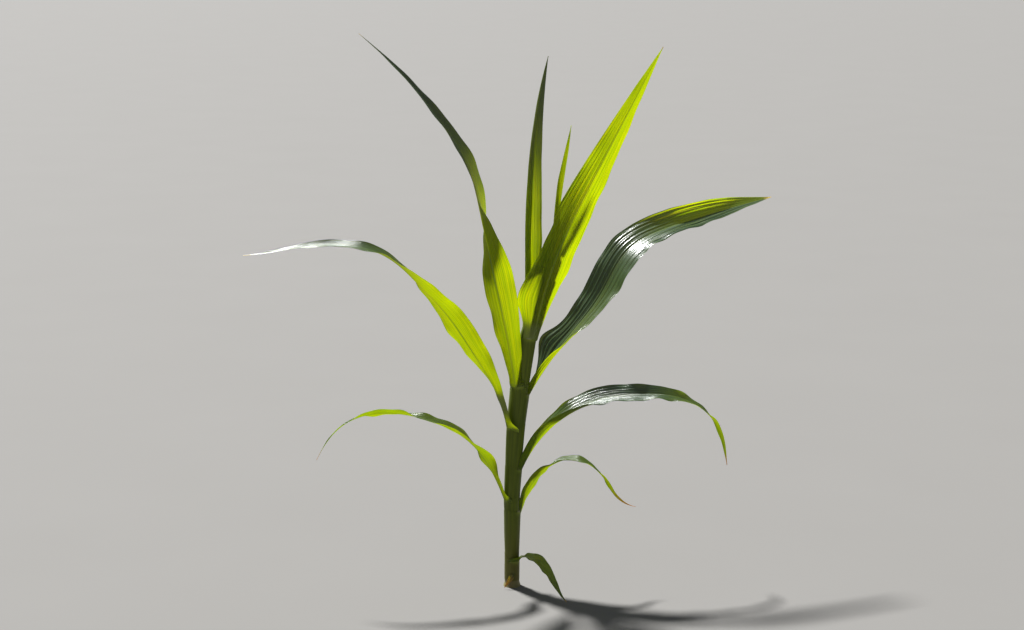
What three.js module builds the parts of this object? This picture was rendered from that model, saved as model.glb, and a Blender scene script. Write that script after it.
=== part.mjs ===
// A young maize plant of ten leaves, rooted in level ground.
// Millimetres, Z up. The origin is the middle of the flat cut at ground level.
// The stalk is a jointed culm inside nested leaf sheaths. Each sheath ends at a collar,
// where the blade of the same leaf starts, and the youngest leaves stand rolled in the whorl.

import * as THREE from "three";
import { mergeVertices } from "three/addons/utils/BufferGeometryUtils.js";

// Stalk: it stands upright to LEAN_FROM and then leans towards +X
const STALK_RADIUS = 13;
const LEAN_FROM = 150;
const LEAN_SPAN = 300;
const LEAN_BY = 25;
const LEAN_POWER = 1.6;
const WIDENS_FROM = 50;
const WIDENS_BY = 0.0375;
const WIDENS_OVER = 40;

// Sheaths: each lies one layer inside the one before it
const WALL = 1;
const GAP = 0.3;
const LAYER = WALL + GAP;
const SLIT = 1.2;

// Culm: the root flare, the first joint's height, the waist between joints and the flat top
const FLARE_RADIUS = 15;
const WAIST = 0.5;
const CULM_TOP = 300;

// Whorl: the roll of young leaf bases that stands on the culm, as [height, radius]. From
// WHORL_LEANS_FROM up it leans to one side, by a share of the height, into the open leaf beside it.
const WHORL_LEANS_FROM = 450;
const WHORL_LEAN = 0.22;
const WHORL_LEAN_SIDE = -62;
const WHORL_PROFILE = [
  [CULM_TOP + GAP, 9],
  [330, 11.2],
  [440, 12],
  [464, 11],
  [500, 12.5],
  [560, 14],
  [600, 12],
  [620, 7],
];

// Blades: how far the base stands proud of the sheath, and thickness as a share of the length,
// times the factors at [share of the length, factor]
const COLLAR_FLARE = 0.8;
const THICKNESS = 0.01;
const THINNING = [
  [0, 0.55],
  [0.12, 1],
  [0.9, 1],
  [1, 0.5],
];

// Blade outline: it grows from the base to the widest point and tapers to the tip, by these values
// or by a leaf's own. The channel is the share of the stalk's curve that the blade's section keeps
// beyond the opening length.
const BASE_WIDTH = 0.5;
const WIDEST_AT = 0.32;
const TAPER = 1.25;
const TIP_HALF_WIDTH = 1.4;
const CHANNEL = 0.12;

// Fineness of the solids
const PATH_STEPS = 80;
const ROUNDING = 0.06;
const BLADE_ACROSS = 6;
const BLADE_ROW_LENGTH = 30;
const FEWEST_ROWS = 4;
const SHEATH_SIDES = 18;
const SHEATH_ROW_LENGTH = 24;
const CULM_SIDES = 20;
const RIM_PASSES = 5;
const SAME_CORNER = 1e-6;

// Finishes, as [colour, roughness]
const LEAF_GREEN = [0x6f9a12, 0.45];
const OUTER_LEAF_GREEN = [0x55702a, 0.45];
const WHORL_GREEN = [0x9cc41a, 0.5];
const SHEATH_GREEN = [0x6d8a2c, 0.55];
const CULM_OLIVE = [0x7d7a35, 0.6];

// Leaves, oldest first. foot and collar are the heights where the sheath starts and ends, and side
// is the compass side of the midrib at the collar. course gives, along the blade, the midrib's rise
// above level, its heading and the blade's twist in degrees. bend is where an arching blade parts.
const LEAVES = [
  {
    name: "leaf_1", foot: 12, collar: 46, side: -52, length: 150, width: 24, opening: 0.1,
    course: [[0, 64, -52, 0], [0.12, 20, -54, 4], [0.3, 0, -55, 10], [0.5, -36, -57, 12],
      [0.8, -48, -58, 10], [1, -20, -60, 0]],
  },
  {
    name: "leaf_2", foot: 20, collar: 135, side: -12, length: 286, width: 26, opening: 0.1,
    bend: 0.5,
    course: [[0, 79, -12, 0], [0.25, 50, -14, 10], [0.42, 25, -14, 30], [0.58, -30, -12, 25],
      [0.8, -66, -10, 10], [1, -10, 0, 0]],
  },
  {
    name: "leaf_3", foot: 32, collar: 157, side: 190, length: 435, width: 34, opening: 0.1,
    bend: 0.62,
    course: [[0, 72, 190, 0], [0.2, 58, 188, -5], [0.36, 32, 186, -15], [0.6, 10, 184, -15],
      [0.75, -12, 182, 0], [0.88, -50, 182, 10], [1, -66, 180, 0]],
  },
  {
    name: "leaf_4", foot: 60, collar: 210, side: -12, length: 498, width: 46, opening: 0.1,
    bend: 0.5,
    course: [[0, 70, -12, 0], [0.12, 52, -10, 5], [0.3, 30, -5, 20], [0.42, 6, 0, 40],
      [0.6, -6, 5, 42], [0.76, -36, 6, 20], [0.9, -76, 8, 10], [1, -82, 8, 0]],
  },
  {
    name: "leaf_5", foot: 105, collar: 286, side: 196, length: 615, width: 52, opening: 0.1,
    bend: 0.58,
    course: [[0, 80, 196, 0], [0.1, 68, 192, 8], [0.2, 54, 188, 30], [0.3, 62, 184, 62],
      [0.42, 45, 180, 45], [0.56, 50, 176, 5], [0.64, 16, 176, -15], [0.8, -4, 174, -28],
      [0.9, -14, 176, -20], [1, -2, 176, -10]],
  },
  {
    name: "leaf_6", foot: 150, collar: 341, side: 2, length: 615, width: 68, opening: 0.1,
    bend: 0.52, base: 0.45, widest: 0.5, taper: 3,
    course: [[0, 64, 0, 2], [0.12, 51, 8, 10], [0.3, 43, 22, 22], [0.42, 66, 28, 34],
      [0.55, 17, 24, 34], [0.65, 12, 20, 32], [0.8, 11, 18, 30], [1, 9, 18, 14]],
  },
  {
    name: "leaf_7", foot: 190, collar: 359, side: 235, length: 676, width: 64, opening: 0.1,
    base: 0.3,
    course: [[0, 81, 205, 30], [0.12, 78, 200, 48], [0.3, 77, 197, 40], [0.38, 77, 195, 10],
      [0.46, 78, 194, -25], [0.54, 78, 192, -38], [0.62, 57, 188, -34], [0.75, 53, 184, -30],
      [1, 40, 180, -12]],
  },
  {
    name: "leaf_8", foot: 235, collar: 442, side: -52, length: 548, width: 72, opening: 0.14,
    widest: 0.2, taper: 1.6,
    course: [[0, 76, -50, -8], [0.1, 74, -48, -30], [0.25, 68, -40, -50], [0.5, 62, -30, -60],
      [0.8, 63, -20, -60], [1, 62, -15, -60]],
  },
  {
    name: "leaf_9", collar: 470, side: 133, radius: 12.3, length: 450, width: 52, opening: 0.4,
    course: [[0, 82, 5, 135], [0.08, 88, 10, 120], [0.3, 89, 20, 90], [0.6, 85, 10, 85],
      [1, 77, 0, 90]],
  },
  {
    name: "leaf_10", collar: 621, side: 90, radius: 3, length: 186, width: 20, opening: 0.5,
    course: [[0, 82, 20, -80], [0.6, 81, 20, -80], [1, 80, 15, -80]],
  },
];

const rad = THREE.MathUtils.degToRad;

// The middle of the stalk at a height
function stalkCentre(z) {
  const share = Math.max(0, (z - LEAN_FROM) / LEAN_SPAN);
  return new THREE.Vector3(LEAN_BY * share ** LEAN_POWER, 0, z);
}

// The middle of the whorl at a height
function whorlCentre(z) {
  const reach = WHORL_LEAN * Math.max(0, z - WHORL_LEANS_FROM);
  const side = rad(WHORL_LEAN_SIDE);
  return stalkCentre(z).add(new THREE.Vector3(reach * Math.cos(side), reach * Math.sin(side), 0));
}

// The outer radius of the sheath that has `nest` sheaths around it
function sheathRadius(z, nest) {
  const above = z - WIDENS_FROM;
  const rise = (above + Math.hypot(above, WIDENS_OVER)) / 2;
  return STALK_RADIUS + WIDENS_BY * rise - LAYER * nest;
}

// The value of a column of [place, value, ...] rows, straight between rows
function between(rows, place, column) {
  const last = rows.length - 1;
  if (place <= rows[0][0]) return rows[0][column];
  if (place >= rows[last][0]) return rows[last][column];
  const next = rows.findIndex((row) => row[0] >= place);
  const [from, to] = [rows[next - 1], rows[next]];
  const share = (place - from[0]) / (to[0] - from[0]);
  return THREE.MathUtils.lerp(from[column], to[column], share);
}

// The same with its corners rounded, as the mean over a short stretch around the place
function rounded(rows, place, column) {
  const shifts = [-1, -0.5, 0, 0.5, 1].map((share) => share * ROUNDING);
  const values = shifts.map((shift) => between(rows, place + shift, column));
  return values.reduce((sum, value) => sum + value, 0) / values.length;
}

// The midrib's direction, the way across the blade and the upper face's normal at t, the share of
// the leaf's length
function bladeFrame(leaf, t) {
  const [rise, heading, twist] = [1, 2, 3].map((column) => rad(rounded(leaf.course, t, column)));
  const along = new THREE.Vector3(
    Math.cos(rise) * Math.cos(heading),
    Math.cos(rise) * Math.sin(heading),
    Math.sin(rise),
  );
  const level = new THREE.Vector3(-Math.sin(heading), Math.cos(heading), 0);
  const across = level.applyAxisAngle(along, twist);
  const up = new THREE.Vector3().crossVectors(along, across);
  return { along, across, up };
}

// The radius of the blade's inner face where it leaves the stalk
function baseRadius(leaf, nest) {
  return leaf.radius ?? sheathRadius(leaf.collar, nest) - WALL + COLLAR_FLARE;
}

// The midrib, laid out in equal steps from the collar, or from the whorl where a leaf has no sheath
function midrib(leaf, nest) {
  const side = rad(leaf.side);
  const radius = baseRadius(leaf, nest);
  const start = leaf.foot === undefined ? whorlCentre(leaf.collar) : stalkCentre(leaf.collar);
  start.x += radius * Math.cos(side);
  start.y += radius * Math.sin(side);
  const points = [start];
  for (let step = 0; step < PATH_STEPS; step += 1) {
    const { along } = bladeFrame(leaf, (step + 0.5) / PATH_STEPS);
    points.push(points[step].clone().addScaledVector(along, leaf.length / PATH_STEPS));
  }
  return new THREE.CatmullRomCurve3(points);
}

// Half the blade's width at t
function halfWidth(leaf, t) {
  const { base = BASE_WIDTH, widest = WIDEST_AT, taper = TAPER } = leaf;
  const growth = Math.sin((Math.PI / 2) * Math.min(1, t / widest));
  const rise = base + (1 - base) * growth;
  const fall = 1 - Math.max(0, (t - widest) / (1 - widest)) ** taper;
  return Math.max(TIP_HALF_WIDTH, (leaf.width / 2) * rise * fall);
}

// The thickness of the slab at t
function thickness(leaf, t) {
  return THICKNESS * leaf.length * between(THINNING, t, 1);
}

// Moves every corner of a geometry by a rule, and joins the corners that meet
function reshape(geometry, rule) {
  geometry.deleteAttribute("normal");
  geometry.deleteAttribute("uv");
  const joined = mergeVertices(geometry, SAME_CORNER);
  const corners = joined.getAttribute("position");
  const corner = new THREE.Vector3();
  for (let index = 0; index < corners.count; index += 1) {
    corner.fromBufferAttribute(corners, index);
    const moved = rule(corner);
    corners.setXYZ(index, moved.x, moved.y, moved.z);
  }
  joined.computeVertexNormals();
  return joined;
}

// A blade from one share of its length to another: a slab whose section is an arc. The arc has the
// stalk's own curve at the collar and opens to a shallow channel further out.
function blade(leaf, nest, from, to) {
  const path = midrib(leaf, nest);
  const radius = baseRadius(leaf, nest);
  const rows = Math.max(FEWEST_ROWS, Math.round(((to - from) * leaf.length) / BLADE_ROW_LENGTH));
  const slab = new THREE.BoxGeometry(1, 1, 1, rows, BLADE_ACROSS, 1);
  return reshape(slab, (corner) => {
    const t = THREE.MathUtils.lerp(from, to, corner.x + 0.5);
    const { across, up } = bladeFrame(leaf, t);
    const curve = (CHANNEL + (1 - CHANNEL) * Math.exp(-t / leaf.opening)) / radius;
    const angle = 2 * corner.y * halfWidth(leaf, t) * curve;
    const below = (0.5 - corner.z) * thickness(leaf, t);
    const reach = 1 / curve + below;
    return path
      .getPoint(t)
      .addScaledVector(across, reach * Math.sin(angle))
      .addScaledVector(up, 1 / curve - reach * Math.cos(angle));
  });
}

// The height of a sheath's slanting rim on one side of the stalk. The rim lies in the plane of the
// blade's end face, a gap below it.
function rimHeight(leaf, nest, azimuth, inward) {
  const start = midrib(leaf, nest).points[0];
  const { along } = bladeFrame(leaf, 0);
  let height = leaf.collar;
  for (let pass = 0; pass < RIM_PASSES; pass += 1) {
    const reach = sheathRadius(height, nest) - inward;
    const rim = stalkCentre(height);
    rim.x += reach * Math.cos(azimuth);
    rim.y += reach * Math.sin(azimuth);
    height -= (rim.sub(start).dot(along) + GAP) / along.z;
  }
  return height;
}

// A sheath: a wall rolled round the stalk, with a slit between its margins on the side away from
// the blade
function sheath(leaf, nest) {
  const rows = Math.round((leaf.collar - leaf.foot) / SHEATH_ROW_LENGTH) + 1;
  const wall = new THREE.BoxGeometry(1, 1, 1, SHEATH_SIDES, rows, 1);
  return reshape(wall, (corner) => {
    const open = SLIT / sheathRadius(leaf.collar, nest);
    const azimuth = rad(leaf.side) + corner.x * (2 * Math.PI - open);
    const inward = (0.5 - corner.z) * WALL;
    const rim = rimHeight(leaf, nest, azimuth, inward);
    const height = THREE.MathUtils.lerp(leaf.foot, rim, corner.y + 0.5);
    const reach = sheathRadius(height, nest) - inward;
    const place = stalkCentre(height);
    place.x += reach * Math.cos(azimuth);
    place.y += reach * Math.sin(azimuth);
    return place;
  });
}

// A round stem on a line of centres, with its radius from [height, radius] rows
function stem(profile, centre) {
  const rod = new THREE.CylinderGeometry(1, 1, 1, CULM_SIDES, profile.length - 1);
  rod.rotateX(Math.PI / 2);
  return reshape(rod, (corner) => {
    const row = Math.round((corner.z + 0.5) * (profile.length - 1));
    const [height, radius] = profile[row];
    const place = centre(height);
    place.x += radius * corner.x;
    place.y += radius * corner.y;
    return place;
  });
}

// The culm swells at each joint, where a sheath is attached, and is narrower between joints
function culmProfile(leaves) {
  const joints = leaves.map((leaf, nest) => [
    leaf.foot,
    sheathRadius(leaf.foot, nest) - LAYER,
  ]);
  const rows = [[0, FLARE_RADIUS], [joints[0][0] / 2, STALK_RADIUS]];
  joints.forEach(([height, radius], index) => {
    rows.push([height, radius]);
    const [nextHeight, nextRadius] = joints[index + 1] ?? [CULM_TOP, radius - WAIST];
    const waist = Math.min(radius, nextRadius) - WAIST;
    rows.push([(height + nextHeight) / 2, waist]);
  });
  rows.push([CULM_TOP, joints.at(-1)[1] - WAIST]);
  return rows;
}

// One named piece of the plant in its own finish
function subPart(name, geometry, [color, roughness]) {
  const material = new THREE.MeshStandardMaterial({ color, roughness, metalness: 0 });
  const mesh = new THREE.Mesh(geometry, material);
  mesh.name = name;
  return mesh;
}

const plant = new THREE.Group();
plant.name = "maize_plant";

const sheathed = LEAVES.filter((leaf) => leaf.foot !== undefined);
plant.add(subPart("culm", stem(culmProfile(sheathed), stalkCentre), CULM_OLIVE));
plant.add(subPart("whorl_core", stem(WHORL_PROFILE, whorlCentre), WHORL_GREEN));

LEAVES.forEach((leaf, nest) => {
  const hasSheath = leaf.foot !== undefined;
  if (hasSheath) {
    plant.add(subPart(`${leaf.name}_sheath`, sheath(leaf, nest), SHEATH_GREEN));
  }
  const green = hasSheath ? LEAF_GREEN : WHORL_GREEN;
  if (leaf.bend === undefined) {
    plant.add(subPart(`${leaf.name}_blade`, blade(leaf, nest, 0, 1), green));
    return;
  }
  const halfGap = GAP / 2 / leaf.length;
  const inner = blade(leaf, nest, 0, leaf.bend - halfGap);
  const outer = blade(leaf, nest, leaf.bend + halfGap, 1);
  plant.add(subPart(`${leaf.name}_blade_inner`, inner, green));
  plant.add(subPart(`${leaf.name}_blade_outer`, outer, OUTER_LEAF_GREEN));
});

export default plant;
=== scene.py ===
# A young maize plant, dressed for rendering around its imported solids.
#
# Eight leaves are each a thin blade and a rolled sheath, and two young blades leave the whorl. They
# follow the rule of the solids and carry it to finer detail: the midrib's keel, parallel veins,
# ruffled margins, collar, ligule and lapped sheath.
# The shapes' lengths are in millimetres, and MM turns them into Blender's metres when a mesh is made.
# The finishes, the view and the floor are in metres. A turn round the stalk and a wave's phase are
# in radians, and every other angle is in degrees. A place t runs along a blade, from 0 at its collar
# to 1 at its tip. A share runs across one half of a blade, from 0 at the midrib to 1 at the margin.

import math

import bpy
import numpy as np
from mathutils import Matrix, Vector


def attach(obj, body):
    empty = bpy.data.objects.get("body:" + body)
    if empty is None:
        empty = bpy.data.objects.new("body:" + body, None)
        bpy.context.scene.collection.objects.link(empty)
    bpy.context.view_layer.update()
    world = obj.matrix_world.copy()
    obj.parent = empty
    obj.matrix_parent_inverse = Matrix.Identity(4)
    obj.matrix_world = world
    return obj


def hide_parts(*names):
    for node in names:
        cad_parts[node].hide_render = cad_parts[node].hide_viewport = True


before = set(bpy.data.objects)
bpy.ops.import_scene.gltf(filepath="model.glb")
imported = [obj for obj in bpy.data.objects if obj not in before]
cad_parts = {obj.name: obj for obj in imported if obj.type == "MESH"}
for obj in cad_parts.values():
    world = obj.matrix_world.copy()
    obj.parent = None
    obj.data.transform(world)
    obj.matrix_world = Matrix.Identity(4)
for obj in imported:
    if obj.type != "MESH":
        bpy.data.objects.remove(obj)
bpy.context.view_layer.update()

MM = 0.001

# Stalk, as in the solids: it is upright to LEAN_FROM and then leans towards +X, it widens from about
# WIDENS_FROM up, each sheath lies one LAYER inside the one before it, and the whorl stands a GAP
# above the culm
STALK_RADIUS = 13
LEAN_FROM = 150
LEAN_SPAN = 300
LEAN_BY = 25
LEAN_POWER = 1.6
WIDENS_FROM = 50
WIDENS_BY = 0.0375
WIDENS_OVER = 40
LAYER = 1.3
GAP = 0.3

# Culm: the root flare, the ring on the first joint, the waist between joints and the flat top
FLARE_RADIUS = 15
FLARE_HEIGHT = 6
WAIST = 0.5
CULM_TOP = 300
CULM_ROW = 1.5
CULM_SIDES = 96
JOINT_RING = 0.7
JOINT_RING_HEIGHT = 2.5

# Culm's furrows: narrow ones straight up it, and broad ones that wind round it as they rise
FURROWS = 24
FURROW_DEPTH = 0.12
BROAD_FURROWS = 7
BROAD_FURROW_DEPTH = 0.1
BROAD_FURROW_RISE = 40

# Blade outline and section, as in the solids but for a finer tip and more steps
COLLAR_STEP = 0.2
BASE_WIDTH = 0.5
WIDEST_AT = 0.32
TAPER = 1.25
TIP_HALF_WIDTH = 0.5
CHANNEL = 0.12
ROUNDING = 0.06
PATH_STEPS = 400

# Blade grid: the length of a row, and the columns on each half of the rib and on each half beside it
ROW_LENGTH = 4
RIB_COLUMNS = 4
LAMINA_COLUMNS = 54

# Blade's base: it starts inside the sheath's rim, its lobes reach round the stalk, its collar is pale
COLLAR_INSET = 0.5
TUCK = 5
LOBE_TURN = 1.2
LOBE_LENGTH = 9
COLLAR_LENGTH = 4

# Lamina: its thickness, the thinner margin, and the degrees that each half folds up at the rib, from
# a small t on
LAMINA = 0.35
MARGIN = 0.12
MARGIN_OVER = 0.06
FOLD = 13
FOLD_OVER = 0.12

# Rib: half its width as a share of the blade's width, how it narrows to the tip, the keel below, the
# groove above, and how the keel grows out of the collar
RIB_SHARE = 0.045
RIB_NARROWS = 0.8
RIB_LEAST = 0.02
RIB_MOST = 0.5
KEEL_SPREAD = 0.62
RIB_DEPTH = 0.62
RIB_GROOVE = 0.12
RIB_STARTS = 0.5
RIB_GROWS_OVER = 30

# Veins: how many ridges each half has, how far they stand out below, and how much of that they are
# sunk above
VEINS = 10
VEIN_RISE = 0.16
VEIN_DIP = 0.6
VEINS_END_OVER = 0.1

# Pleats: long folds in two widths across each half, and their height as a share of the half width.
# A part of their strength is steady and the rest swells along and across the blade, they drift
# sideways, and they fade in beside the rib and beyond the collar
PLEATS = 4.5
FINE_PLEATS = 7.3
PLEAT_RISE = 0.013
PLEAT_STEADY = 0.7
PLEAT_SWELLS = 9
PLEAT_SLANT = 2
PLEAT_DRIFT = 1.4
PLEAT_DRIFT_RATE = 5
PLEATS_FROM_RIB = 0.12
PLEATS_FROM_COLLAR = 0.04

# Ruffles: the short wave's rate and phase against the long one's, how they gather at the margin, and
# where they swell and die out
RUFFLE_RATE = 1.63
RUFFLE_SHIFT = 2.3
RUFFLE_POWER = 2.4
RUFFLES_SWELL_OVER = 0.12
RUFFLES_END_OVER = 0.35

# Dry tip: the least share of the length that counts as dry
DRY_LEAST = 0.001

# Pleats and ruffles: the longer wave's share of each, and how far one leaf's waves and one side's
# stand apart from the next
LONG_WAVE = 0.65
PLEAT_PHASES = (2.3, 1.9)
RUFFLE_PHASES = (1.7, 1.1)

# Sheath: the wall, how far it winds inwards and laps, its rows, which gather at the rim, and its ribs
SHEATH_WALL = 0.35
SPIRAL = 0.5
LAP = 0.35
SHEATH_COLUMNS = 176
SHEATH_ROW = 5
SHEATH_LEAST_ROWS = 12
SHEATH_ROWS_GATHER = 1.6
SHEATH_RIBS = 44
SHEATH_RIB_RISE = 0.05

# Sheath's rim: found in a few passes, it thins, it settles on the next sheath except where it bears
# the blade, and it has a notch where the margins lap
RIM_PASSES = 5
RIM_SETTLES = 0.95
RIM_SETTLES_OVER = 26
RIM_THINS = 0.6
RIM_FREE = 0.6
RIM_FREE_OVER = 0.7
NOTCH = 7
NOTCH_WIDTH = 0.4

# Sheath's keel, which carries on the blade's rib
SHEATH_KEEL = 0.5
SHEATH_KEEL_WIDTH = 2.6
SHEATH_KEEL_LENGTH = 70

# Ligule: a thin band inside the collar, sunk a little below the rim, with a ragged top edge
LIGULE_HEIGHT = 3.2
LIGULE_LEAST = 0.5
LIGULE_SUNK = 1
LIGULE_ARCH = 0.7
LIGULE_TURN = 0.75
LIGULE_INSIDE = 0.85
LIGULE_WALL = 0.12
LIGULE_COLUMNS = 60
LIGULE_ROWS = 8
RAGS = 9
RAG_RISE = 0.2
FINE_RAGS = 23
FINE_RAG_RISE = 0.12

# Whorl: the roll of young leaf bases, as [height, radius], and how it leans as it rises
WHORL_LEANS_FROM = 450
WHORL_LEAN = 0.22
WHORL_LEAN_SIDE = -62
WHORL_PROFILE = [[CULM_TOP + GAP, 9], [330, 11.2], [440, 12], [464, 11], [500, 12.5], [560, 14],
                 [600, 12], [620, 7]]
WHORL_TURNS = 2.4
WHORL_INWARD = 0.55
WHORL_LOWEST_RIM = 480
WHORL_RIM_POWER = 0.6
WHORL_ROWS = 60
WHORL_COLUMNS = 200
WHORL_WALL = 0.3

# Leaves, oldest first, with the sizes, sides and courses of the solids. foot and collar are the
# heights where the sheath starts and ends, and side is where on the stalk the blade leaves it, in
# degrees from +X. The two leaves with no foot leave the whorl, at a radius from its middle. length,
# width, base, widest and taper give the blade's outline, and opening is the t over which its rolled
# base opens. A row of course is [t, rise, heading, twist], in degrees.
#
# Finer than the solids are ruffle, how far the margins wave; wave, the length of one wave; pleat,
# which scales the long folds beside the veins; dry, the withered share at the tip; and tuck, how far
# the base runs down inside what it leaves. Some leaves also have shapes at a place t, over a spread
# of t: turns [t, spread, degrees] twist the blade further; curls [side, share, t, spread, degrees]
# roll one half up, or below 0 down, from a share of its width outwards; flares [side, t, spread,
# width] widen one half; and painted shade [side, t, spread] makes places that let less light pass,
# so that the blade shows darker there. Side 1 is the half to the left of the midrib as it runs out
# from the stalk, -1 is the half to its right and 0 is both.
LEAVES = [
    dict(foot=12, collar=46, side=-52, length=150, width=24, opening=0.1,
         ruffle=1.5, wave=30, pleat=0.8, dry=0.05,
         course=[[0, 64, -52, 0], [0.12, 20, -54, 4], [0.3, 0, -55, 10], [0.5, -36, -57, 12],
                 [0.8, -48, -58, 10], [1, -20, -60, 0]]),
    dict(foot=20, collar=135, side=-12, length=286, width=26, opening=0.1,
         ruffle=1.6, wave=44, pleat=1, dry=0.2,
         turns=[[0.2, 0.25, -55], [0.85, 0.2, -60]],
         course=[[0, 79, -12, 0], [0.25, 50, -14, 10], [0.42, 25, -14, 30], [0.58, -30, -12, 25],
                 [0.8, -66, -10, 10], [1, -10, 0, 0]]),
    dict(foot=32, collar=157, side=190, length=435, width=34, opening=0.1,
         ruffle=2.4, wave=60, pleat=1, dry=0.06,
         turns=[[0.19, 0.07, 40], [0.66, 0.1, 60]],
         curls=[[1, 0.35, 0.38, 0.05, 75]],
         flares=[[1, 0.2, 0.08, 2], [-1, 0.2, 0.08, 2]],
         course=[[0, 72, 190, 0], [0.2, 58, 188, -5], [0.36, 32, 186, -15], [0.6, 10, 184, -15],
                 [0.75, -12, 182, 0], [0.88, -50, 182, 10], [1, -66, 180, 0]]),
    dict(foot=60, collar=210, side=-12, length=498, width=46, opening=0.1,
         ruffle=3, wave=66, pleat=1.2, dry=0.05,
         turns=[[0.95, 0.14, -60]],
         curls=[[-1, 0.1, 0.15, 0.2, 80]],
         flares=[[1, 0.15, 0.15, 3], [-1, 0.15, 0.15, 4]],
         painted_shade=[[0, 0.45, 0.17]],
         course=[[0, 70, -12, 0], [0.12, 52, -10, 5], [0.3, 30, -5, 20], [0.42, 6, 0, 40],
                 [0.6, -6, 5, 42], [0.76, -36, 6, 20], [0.9, -76, 8, 10], [1, -82, 8, 0]]),
    dict(foot=105, collar=286, side=196, length=615, width=52, opening=0.1,
         ruffle=2.4, wave=80, pleat=1, dry=0.04,
         curls=[[1, 0.25, 0, 0.03, -85]],
         flares=[[1, 0, 0.025, 10], [1, 0.09, 0.06, -6], [-1, 0.08, 0.07, -5]],
         painted_shade=[[0, 0.95, 0.38], [0, 0.07, 0.035]],
         course=[[0, 80, 196, 0], [0.1, 68, 192, 8], [0.2, 54, 188, 30], [0.3, 62, 184, 62],
                 [0.42, 45, 180, 45], [0.56, 50, 176, 5], [0.64, 16, 176, -15],
                 [0.8, -4, 174, -28], [0.9, -14, 176, -20], [1, -2, 176, -10]]),
    dict(foot=150, collar=341, side=2, length=615, width=68, opening=0.1,
         base=0.45, widest=0.5, taper=3,
         ruffle=2.2, wave=70, pleat=2.7, dry=0.03,
         turns=[[0.64, 0.09, -8]],
         curls=[[1, 0, 0.5, 0.15, -35], [1, 0, 0.14, 0.08, -20], [1, 0.05, 0.76, 0.17, 55],
                [-1, 0, 0.07, 0.1, 90]],
         flares=[[1, 0.15, 0.05, 20], [1, 0.05, 0.04, -7], [-1, 0.1, 0.07, -4]],
         painted_shade=[[1, 0.28, 0.36], [-1, 0.75, 0.5]],
         course=[[0, 64, 0, 2], [0.12, 51, 8, 10], [0.3, 43, 22, 22], [0.42, 66, 28, 34],
                 [0.55, 17, 24, 34], [0.65, 12, 20, 32], [0.8, 11, 18, 30], [1, 9, 18, 14]]),
    dict(foot=190, collar=359, side=235, length=676, width=64, opening=0.1, base=0.3,
         ruffle=2, wave=90, pleat=1, dry=0.02,
         painted_shade=[[0, 0.85, 0.33]],
         course=[[0, 81, 205, 30], [0.12, 78, 200, 48], [0.3, 77, 197, 40], [0.38, 77, 195, 10],
                 [0.46, 78, 194, -25], [0.54, 78, 192, -38], [0.62, 57, 188, -34],
                 [0.75, 53, 184, -30], [1, 40, 180, -12]]),
    dict(foot=235, collar=442, side=-52, length=548, width=72, opening=0.14,
         widest=0.2, taper=1.6,
         ruffle=1.6, wave=90, pleat=1, dry=0.01,
         curls=[[-1, 0.25, 0.13, 0.06, -70], [-1, 0.6, 0.32, 0.1, 100]],
         flares=[[-1, 0.125, 0.045, 10], [-1, 0, 0.04, -3]],
         painted_shade=[[0, 0, 0.05]],
         course=[[0, 76, -50, -8], [0.1, 74, -48, -30], [0.25, 68, -40, -50], [0.5, 62, -30, -60],
                 [0.8, 63, -20, -60], [1, 62, -15, -60]]),
    dict(collar=470, side=133, radius=12.3, length=450, width=52, opening=0.4,
         ruffle=0.8, wave=90, pleat=0.7, dry=0, tuck=36,
         curls=[[1, 0.15, 0.3, 0.6, 220]],
         painted_shade=[[0, 1, 0.42]],
         course=[[0, 82, 5, 135], [0.08, 88, 10, 120], [0.3, 89, 20, 90], [0.6, 85, 10, 85],
                 [1, 77, 0, 90]]),
    dict(collar=621, side=90, radius=3, length=186, width=20, opening=0.5,
         ruffle=0.4, wave=80, pleat=0.7, dry=0,
         course=[[0, 82, 20, -80], [0.6, 81, 20, -80], [1, 80, 15, -80]]),
]
for nest, leaf in enumerate(LEAVES):
    leaf["number"] = nest + 1
    leaf["nest"] = nest
FIRST_UPPER_LEAF = 5

# Withered first leaf: a short dry flap that hangs from the stalk's foot to the ground
WITHERED = dict(
    name="withered_leaf", number=0, nest=0, collar=25, side=-82, radius=13.8, length=29, width=9,
    opening=0.3,
    ruffle=0.8, wave=13, pleat=2, dry=1,
    course=[[0, -40, -150, -50], [0.5, -50, -160, -60], [1, -55, -170, -60]])

# Shading: the angle past which an edge stays sharp
SHEET_SHARP = 60
CULM_SHARP = 50

# Bake layout: how many strips each face of a blade is cut into, the space between strips, and where
# each edge wall stands in its quarter of the last strip
BLADE_STRIPS = 3
STRIP_GAP = 0.06
WALL_STARTS = 0.1
WALL_FILLS = 0.6

# Leaf finish: how often its streaks and its broad patches come across and along the blade
STREAKS_ACROSS = 17
PATCHES_ACROSS = 2.2
STREAKS_ALONG = 5
PATCH_SEED = 7
STREAK_RANGE = (0.35, 0.65)
PATCH_RANGE = (0.3, 0.7)
VEIN_SHARPNESS = 3
FINE_VEINS = 4

# Leaf finish: how much each mark shows on the skin and in the light that passes, and how much of
# that light the rib, the collar and the places of painted shade stop
VEINS_ON_SKIN = 0.3
RIB_ON_SKIN = 0.4
COLLAR_ON_SKIN = 0.4
STREAKS_IN_LIGHT = 0.65
VEINS_IN_LIGHT = 0.2
VEINS_IN_STREAKS = 0.55
FINE_IN_LIGHT = 0.2
RIB_STOPS = 0.25
COLLAR_STOPS = 0.25
PAINTED_SHADE_STOPS = 0.75

# Leaf finish: its relief, which fades towards the tip, and its wax
VEIN_RELIEF = 0.6
FINE_RELIEF = 0.3
STREAK_RELIEF = 0.5
RELIEF_FADES = (0.6, 0.95)
RELIEF_LEFT = 0.1
RELIEF_STRENGTH = 0.5
RELIEF_HEIGHT = 0.0006
ROUGH_STREAKS = 0.12
ROUGH_BELOW = 0.1
WAX_IOR = 1.65
WAX_LEVEL = 0.42

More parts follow.
